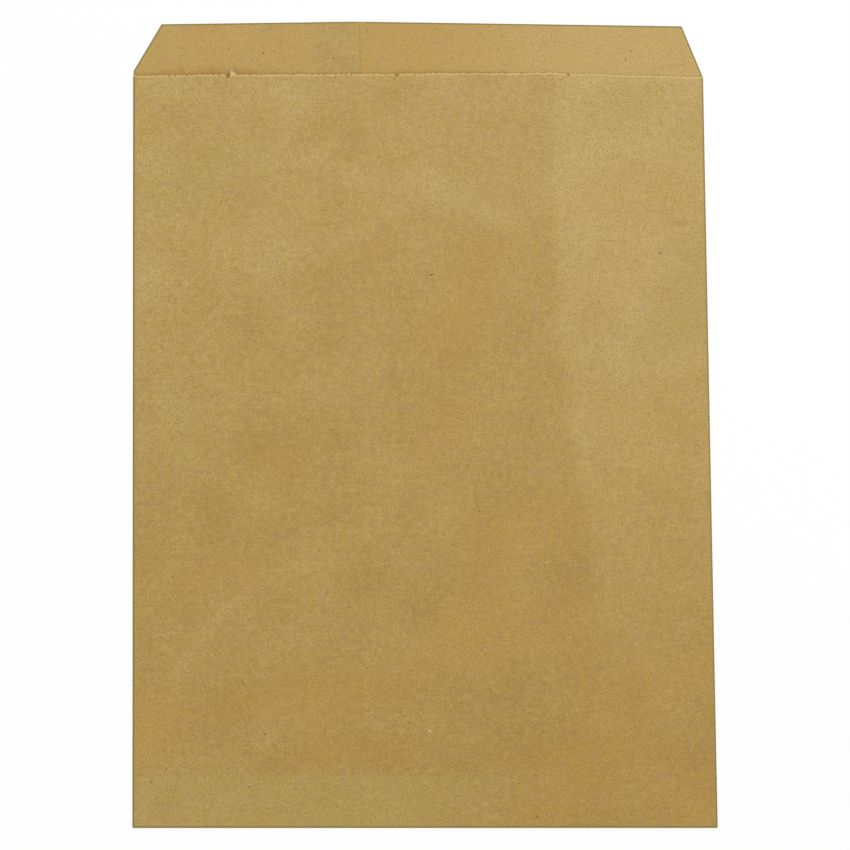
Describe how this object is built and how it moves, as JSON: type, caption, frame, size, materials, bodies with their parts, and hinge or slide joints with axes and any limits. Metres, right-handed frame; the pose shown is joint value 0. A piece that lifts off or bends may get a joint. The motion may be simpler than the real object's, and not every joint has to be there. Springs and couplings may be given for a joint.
{
  "type": "flat paper bag",
  "caption": "Flat brown kraft paper bag with a saw-cut mouth, a lip with slanted corners, an off-centre back seam and a bottom flap.",
  "frame": {"origin": "under the middle of the bag, on the surface that its back lies on", "axes": "+X to the right seen from the front, +Y from the bottom fold to the lip, +Z out of the front panel"},
  "size_m": [0.254, 0.3586, 0.007],
  "materials": {
    "kraft_paper": "matt, unbleached"
  },
  "bodies": {
    "root": {"paper_bag": "kraft_paper"}
  },
  "joints": []
}
